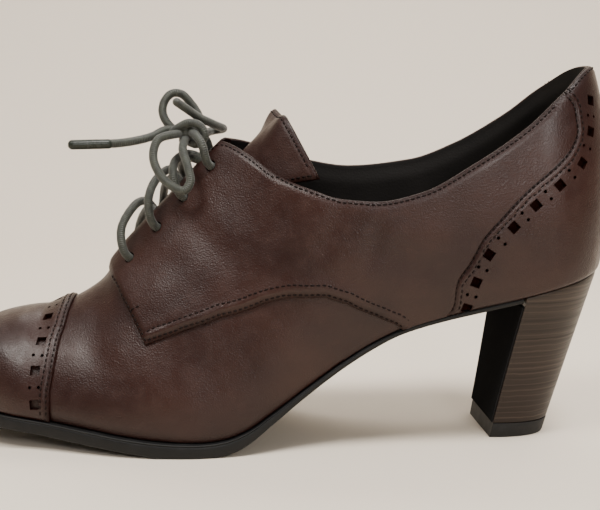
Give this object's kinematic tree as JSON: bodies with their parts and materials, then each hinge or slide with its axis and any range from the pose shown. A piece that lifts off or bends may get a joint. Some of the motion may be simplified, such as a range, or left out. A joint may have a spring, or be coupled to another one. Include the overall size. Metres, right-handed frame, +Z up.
{
  "type": "heeled lace-up shoe",
  "caption": "Woman's left leather lace-up shoe with a cap toe, punched trim, facings over a tongue, a tied bow and a stacked block heel.",
  "frame": {"origin": "on the floor under the middle of the shoe", "axes": "-X towards the toe, +X towards the heel, -Y towards the outer side of the left foot, +Y towards the inner side, +Z up"},
  "size_m": [0.2329, 0.0814, 0.1299],
  "materials": {
    "leather": "satin",
    "lining": "matte",
    "sole": "matte",
    "lift": "matte",
    "heel_stack": "satin",
    "lace": "matte",
    "aglet": "gloss"
  },
  "bodies": {
    "root": {"upper": "leather", "toe_cap": "leather", "quarter_lateral": "leather", "quarter_medial": "leather", "counter": "leather", "tongue": "leather", "insole": "lining", "outsole": "sole", "heel": "heel_stack", "heel_breast": "sole", "top_lift": "lift", "lace_cross_1": "lace", "lace_cross_2": "lace", "lace_cross_3": "lace", "lace_knot": "lace", "lace_loop_lateral": "lace", "lace_loop_medial": "lace", "lace_end_lateral": "lace", "lace_end_medial": "lace", "aglet_lateral": "aglet"}
  },
  "joints": []
}
